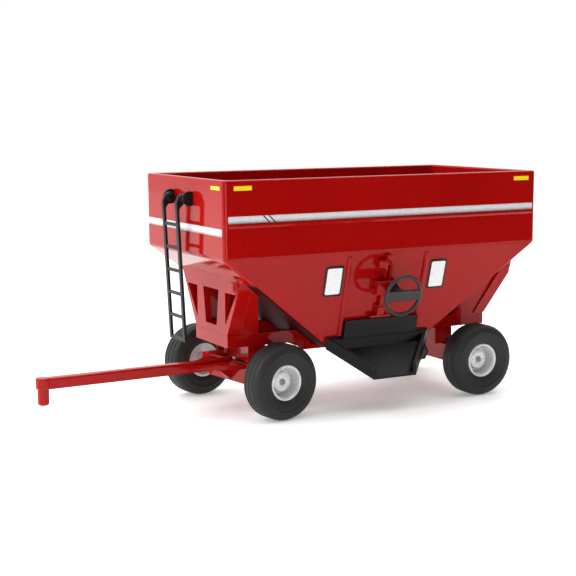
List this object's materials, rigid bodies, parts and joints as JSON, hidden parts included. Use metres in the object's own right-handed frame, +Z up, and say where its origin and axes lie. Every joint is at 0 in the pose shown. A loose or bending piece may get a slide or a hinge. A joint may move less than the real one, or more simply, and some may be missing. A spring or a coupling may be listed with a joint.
{
  "type": "toy gravity grain wagon",
  "caption": "Small-scale die-cast gravity grain wagon: sloped hopper on a four-wheel running gear with a steering drawbar, side chute, handwheel and ladder.",
  "frame": {"origin": "on the ground under the middle of the whole toy's bounding box", "axes": "+X forward towards the drawbar peg, +Y towards the unloading side with the chute, +Z up"},
  "size_m": [0.1066, 0.0435, 0.0478],
  "materials": {
    "red_paint": "glossy red enamel on die-cast zinc",
    "black_moulding": "satin black moulded plastic",
    "tyre": "soft black tyre with moulded tread rings",
    "silver_rim": "silver-sprayed moulded rim",
    "steel": "plain steel rod",
    "white_pane": "white printed pane with a thin black edge"
  },
  "bodies": {
    "wagon": {"hopper_shell": "red_paint", "front_pedestal": "red_paint", "rear_pedestal": "red_paint", "frame": "red_paint", "front_bolster": "red_paint", "kingpin": "steel", "rear_axle_block": "red_paint", "rear_axle_beam": "red_paint", "gearbox_housing": "red_paint", "gate_clevis": "red_paint", "gate_racks": "red_paint", "gate_post": "red_paint", "chute_tray": "black_moulding", "ladder_lugs": "black_moulding", "ladder_pins": "black_moulding", "front_sight_window": "white_pane", "rear_sight_window": "white_pane"},
    "steering": {"front_axle_beam": "red_paint", "tongue_bar": "red_paint", "tongue_gusset": "red_paint", "hitch_peg": "red_paint"},
    "front_wheelset": {"front_axle_rod": "steel", "front_left_rim": "silver_rim", "front_left_tyre": "tyre", "front_right_rim": "silver_rim", "front_right_tyre": "tyre"},
    "rear_wheelset": {"rear_axle_rod": "steel", "rear_left_rim": "silver_rim", "rear_left_tyre": "tyre", "rear_right_rim": "silver_rim", "rear_right_tyre": "tyre"},
    "handwheel": {"handwheel": "black_moulding", "handwheel_spindle": "black_moulding", "handwheel_collar": "black_moulding"},
    "ladder": {"ladder_rails": "black_moulding", "ladder_rungs": "black_moulding"}
  },
  "joints": [
    {"name": "steer", "type": "hinge", "parent": "wagon", "child": "steering", "pos_m": [0.00843, -0.00245, 0.0095], "axis": [0, 0, 1], "range_deg": [-38, 22]},
    {"name": "front_wheels_spin", "type": "hinge", "parent": "steering", "child": "front_wheelset", "pos_m": [0.00843, -0.00245, 0.0076], "axis": [-0.1397, 0.9902, 0], "continuous": true},
    {"name": "rear_wheels_spin", "type": "hinge", "parent": "wagon", "child": "rear_wheelset", "pos_m": [-0.04127, -0.00245, 0.0076], "axis": [0, 1, 0], "continuous": true},
    {"name": "handwheel_spin", "type": "hinge", "parent": "wagon", "child": "handwheel", "pos_m": [-0.01727, 0.02055, 0.024], "axis": [0, 0.9781, -0.2079], "continuous": true},
    {"name": "ladder_swing", "type": "hinge", "parent": "wagon", "child": "ladder", "pos_m": [0.02148, -0.00245, 0.04375], "axis": [0, -1, 0], "range_deg": [0, 110]}
  ]
}
